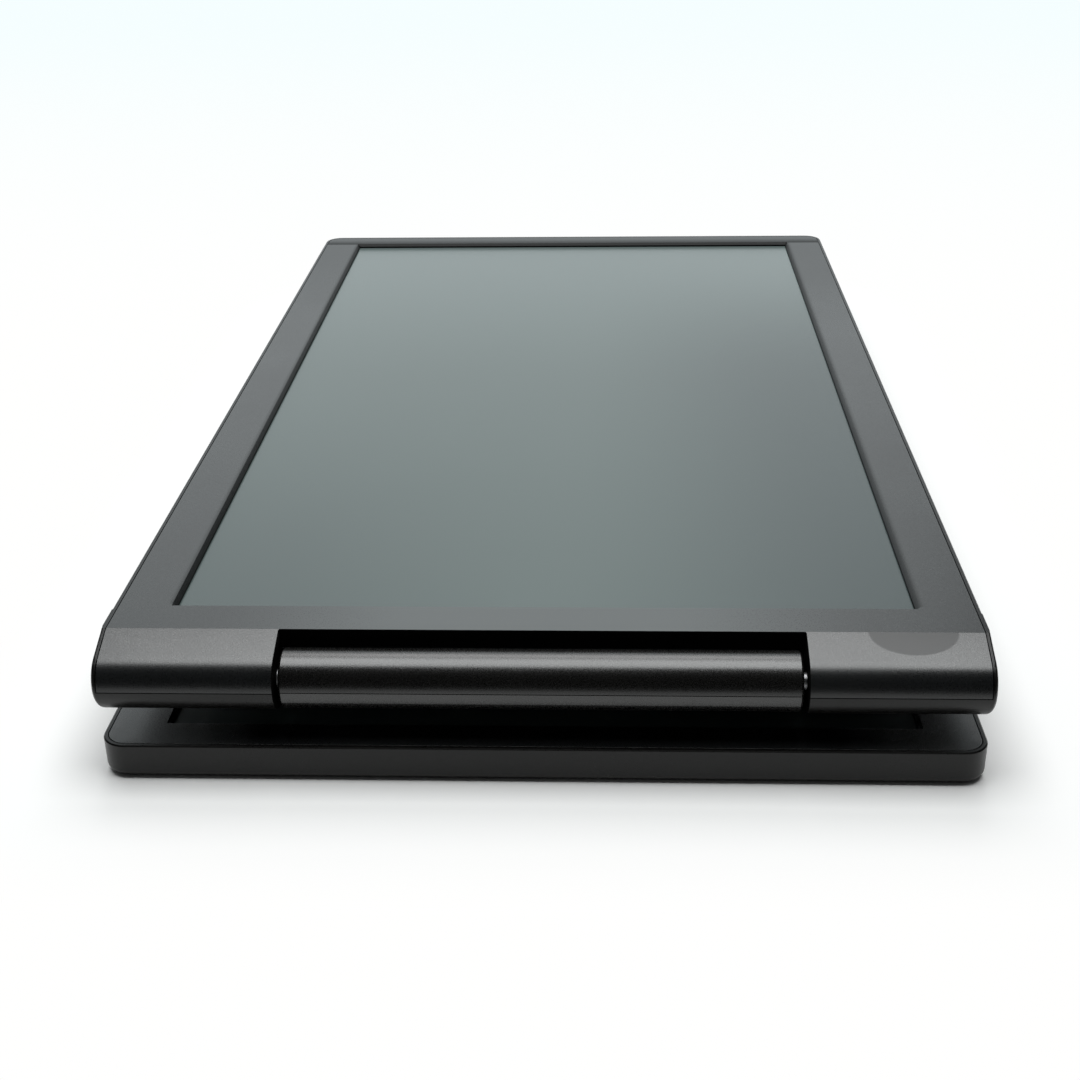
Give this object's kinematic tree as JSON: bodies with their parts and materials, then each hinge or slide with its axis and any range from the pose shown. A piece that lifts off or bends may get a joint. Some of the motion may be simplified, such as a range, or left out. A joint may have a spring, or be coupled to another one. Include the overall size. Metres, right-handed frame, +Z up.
{
  "type": "laptop screen extender",
  "caption": "Folded laptop screen extender: hinged display panels stacked on a telescoping bracket whose hooks grip the edges of a laptop lid.",
  "frame": {"origin": "middle of the folded stack's footprint, on the surface it lies on", "axes": "+Z up through the stack, X along both hinges, +Y from the near hinge, which carries the upper display, to the far hinge, which carries the lower display"},
  "size_m": [0.2032, 0.3462, 0.032],
  "materials": {
    "housing_plastic": "fine grained black moulding",
    "bezel_plastic": "satin dark grey moulding",
    "bracket_plastic": "fine grained black moulding",
    "screen_glass": "anti-glare panel face",
    "backlight_film": "white film",
    "circuit_board": "green lacquer",
    "ribbon_film": "amber film",
    "socket_steel": "nickel plated",
    "switch_plastic": "white",
    "hinge_steel": "plain steel",
    "screw_steel": "black zinc",
    "button_plastic": "satin black",
    "hook_plastic": "fine grained black moulding",
    "pad_rubber": "matt",
    "pad_foam": "closed cell foam",
    "rail_plastic": "natural acetal"
  },
  "bodies": {
    "far_bracket": {"far_barrel_cover": "bracket_plastic", "far_frame_back": "bracket_plastic", "far_frame_front": "bracket_plastic", "far_frame_screws": "screw_steel", "far_hinge_sleeves": "hinge_steel", "far_hook_pads": "pad_rubber", "far_lid_foam": "pad_foam", "far_lid_hooks": "hook_plastic", "slide_rails": "rail_plastic"},
    "near_bracket": {"near_barrel_cover": "bracket_plastic", "near_frame_back": "bracket_plastic", "near_frame_front": "bracket_plastic", "near_frame_screws": "screw_steel", "near_hinge_sleeves": "hinge_steel", "near_hook_pads": "pad_rubber", "near_lid_foam": "pad_foam", "near_lid_hooks": "hook_plastic", "slide_plate": "hinge_steel"},
    "upper_display": {"upper_back_cover": "housing_plastic", "upper_driver_board": "circuit_board", "upper_front_bezel": "bezel_plastic", "upper_hinge_leaves": "hinge_steel", "upper_hinge_shafts": "hinge_steel", "upper_key_switches": "switch_plastic", "upper_lcd_backlight": "backlight_film", "upper_lcd_glass": "screen_glass", "upper_leaf_screws": "screw_steel", "upper_mini_hdmi_port": "socket_steel", "upper_panel_ribbon": "ribbon_film", "upper_usb_c_ports": "socket_steel"},
    "lower_display": {"lower_back_cover": "housing_plastic", "lower_driver_board": "circuit_board", "lower_front_bezel": "bezel_plastic", "lower_hinge_leaves": "hinge_steel", "lower_hinge_shafts": "hinge_steel", "lower_key_switches": "switch_plastic", "lower_lcd_backlight": "backlight_film", "lower_lcd_glass": "screen_glass", "lower_leaf_screws": "screw_steel", "lower_mini_hdmi_port": "socket_steel", "lower_panel_ribbon": "ribbon_film", "lower_usb_c_ports": "socket_steel"},
    "lower_menu_button": {"lower_menu_button": "button_plastic"},
    "lower_minus_button": {"lower_minus_button": "button_plastic"},
    "lower_plus_button": {"lower_plus_button": "button_plastic"},
    "upper_menu_button": {"upper_menu_button": "button_plastic"},
    "upper_minus_button": {"upper_minus_button": "button_plastic"},
    "upper_plus_button": {"upper_plus_button": "button_plastic"}
  },
  "joints": [
    {"name": "bracket_slide", "type": "slide", "parent": "far_bracket", "child": "near_bracket", "axis": [0, -1, 0], "range_m": [0, 0.07]},
    {"name": "upper_hinge", "type": "hinge", "parent": "near_bracket", "child": "upper_display", "pos_m": [0, -0.1643, 0.0223], "axis": [1, 0, 0], "range_deg": [0, 190]},
    {"name": "lower_hinge", "type": "hinge", "parent": "far_bracket", "child": "lower_display", "pos_m": [0, 0.1643, 0.0108], "axis": [1, 0, 0], "range_deg": [0, 180]},
    {"name": "lower_menu_button_press", "type": "slide", "parent": "lower_display", "child": "lower_menu_button", "axis": [1, 0, 0], "range_m": [0, 0.0004], "stiffness_N_per_m": 2500, "springref_m": -0.0002},
    {"name": "lower_minus_button_press", "type": "slide", "parent": "lower_display", "child": "lower_minus_button", "axis": [1, 0, 0], "range_m": [0, 0.0004], "stiffness_N_per_m": 2500, "springref_m": -0.0002},
    {"name": "lower_plus_button_press", "type": "slide", "parent": "lower_display", "child": "lower_plus_button", "axis": [1, 0, 0], "range_m": [0, 0.0004], "stiffness_N_per_m": 2500, "springref_m": -0.0002},
    {"name": "upper_menu_button_press", "type": "slide", "parent": "upper_display", "child": "upper_menu_button", "axis": [1, 0, 0], "range_m": [0, 0.0004], "stiffness_N_per_m": 2500, "springref_m": -0.0002},
    {"name": "upper_minus_button_press", "type": "slide", "parent": "upper_display", "child": "upper_minus_button", "axis": [1, 0, 0], "range_m": [0, 0.0004], "stiffness_N_per_m": 2500, "springref_m": -0.0002},
    {"name": "upper_plus_button_press", "type": "slide", "parent": "upper_display", "child": "upper_plus_button", "axis": [1, 0, 0], "range_m": [0, 0.0004], "stiffness_N_per_m": 2500, "springref_m": -0.0002}
  ]
}
